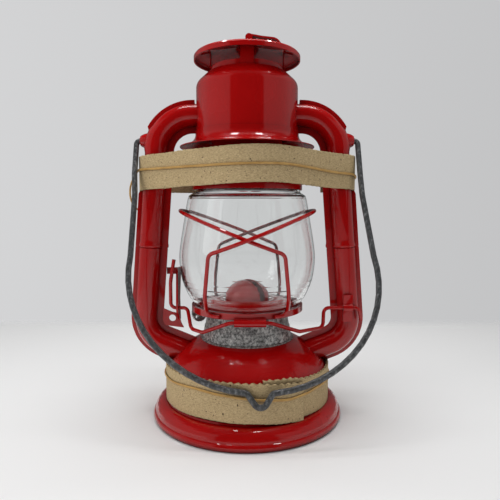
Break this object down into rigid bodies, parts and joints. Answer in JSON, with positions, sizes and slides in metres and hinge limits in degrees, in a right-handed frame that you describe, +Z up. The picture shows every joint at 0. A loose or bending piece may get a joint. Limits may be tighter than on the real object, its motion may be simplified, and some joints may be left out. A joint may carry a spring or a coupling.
{
  "type": "hurricane lantern",
  "caption": "Red enamelled hurricane lantern with lifting glass globe, tubular frame, wire bail and card packing strips held by rubber bands.",
  "frame": {"origin": "middle of the base ring, on the plane it stands on", "axes": "+Z up along the globe and chimney axis, -Y towards the front, where the bail hangs, +X to the right of someone facing the front"},
  "size_m": [0.1585, 0.1254, 0.247],
  "materials": {
    "red_enamel": "gloss enamel",
    "galvanised": "speckled galvanised",
    "bail_wire": "dull grey wire",
    "glass": "clear",
    "card": "kraft card",
    "rubber_band": "matt",
    "wick_cloth": "charred cotton",
    "seal": "matt",
    "spring_wire": "drawn wire"
  },
  "bodies": {
    "frame": {"fount_shell": "red_enamel", "base_skirt": "red_enamel", "fount_bottom": "red_enamel", "tank_top": "galvanised", "burner_collar": "galvanised", "burner_body": "galvanised", "burner_dome": "red_enamel", "wick_tube": "galvanised", "filler_neck": "red_enamel", "tube_upper_left": "red_enamel", "tube_upper_right": "red_enamel", "tube_lower_left": "red_enamel", "tube_lower_right": "red_enamel", "canopy": "red_enamel", "canopy_bell": "red_enamel", "canopy_floor": "red_enamel", "bail_ear_left": "red_enamel", "bail_ear_right": "red_enamel", "lever_clip": "red_enamel", "lever_bracket": "red_enamel", "chimney_spring": "spring_wire", "card_upper": "card", "card_lower": "card", "band_upper": "rubber_band", "band_lower": "rubber_band"},
    "bail": {"bail": "bail_wire"},
    "carriage": {"globe": "glass", "globe_plate": "red_enamel", "guard_left": "red_enamel", "guard_right": "red_enamel"},
    "chimney_stack": {"chimney": "red_enamel", "hood": "red_enamel", "hood_strap_front": "red_enamel", "hood_strap_back": "red_enamel", "hood_strap_left": "red_enamel", "hood_strap_right": "red_enamel", "hood_tab": "red_enamel", "globe_cap": "red_enamel"},
    "lever": {"lift_lever": "red_enamel"},
    "winder": {"wick_spindle": "galvanised", "wick_sprockets": "galvanised", "wick_wheel": "galvanised"},
    "wick": {"wick": "wick_cloth"},
    "cap_seal": {"filler_gasket": "seal"},
    "filler_cap": {"filler_cap": "red_enamel"}
  },
  "joints": [
    {"name": "bail_swing", "type": "hinge", "parent": "frame", "child": "bail", "pos_m": [0, 0, 0.1802], "axis": [-1, 0, 0], "range_deg": [0, 316]},
    {"name": "globe_lift", "type": "slide", "parent": "frame", "child": "carriage", "axis": [0, 0, 1], "range_m": [0, 0.012], "deforming": ["chimney_spring"]},
    {"name": "lever_turn", "type": "hinge", "parent": "frame", "child": "lever", "pos_m": [0, -0.01125, 0.072], "axis": [-1, 0, 0], "range_deg": [0, 25.8]},
    {"name": "hood_pull", "type": "slide", "parent": "carriage", "child": "chimney_stack", "axis": [0, 0, 1], "range_m": [0, 0.012], "stiffness_N_per_m": 120, "springref_m": -0.008, "deforming": ["chimney_spring"]},
    {"name": "wick_turn", "type": "hinge", "parent": "frame", "child": "winder", "pos_m": [-0.00396, -0.00396, 0.0612], "axis": [0.7071, -0.7071, 0], "range_deg": [-130.3, 65.2]},
    {"name": "wick_rise", "type": "slide", "parent": "frame", "child": "wick", "axis": [0, 0, 1], "range_m": [-0.01, 0.005]},
    {"name": "cap_seal_rise", "type": "slide", "parent": "frame", "child": "cap_seal", "axis": [0, 0, 1], "range_m": [0, 0.004]},
    {"name": "cap_turn", "type": "hinge", "parent": "cap_seal", "child": "filler_cap", "pos_m": [0, 0.041, 0.056], "axis": [0, 0, 1], "range_deg": [0, 720]}
  ],
  "couplings": [
    {"joint": "lever_turn", "follows": "globe_lift", "rad_per_m": 37.494},
    {"joint": "wick_turn", "follows": "wick_rise", "rad_per_m": 227.27},
    {"joint": "cap_seal_rise", "follows": "cap_turn", "m_per_rad": 0.00031831}
  ]
}
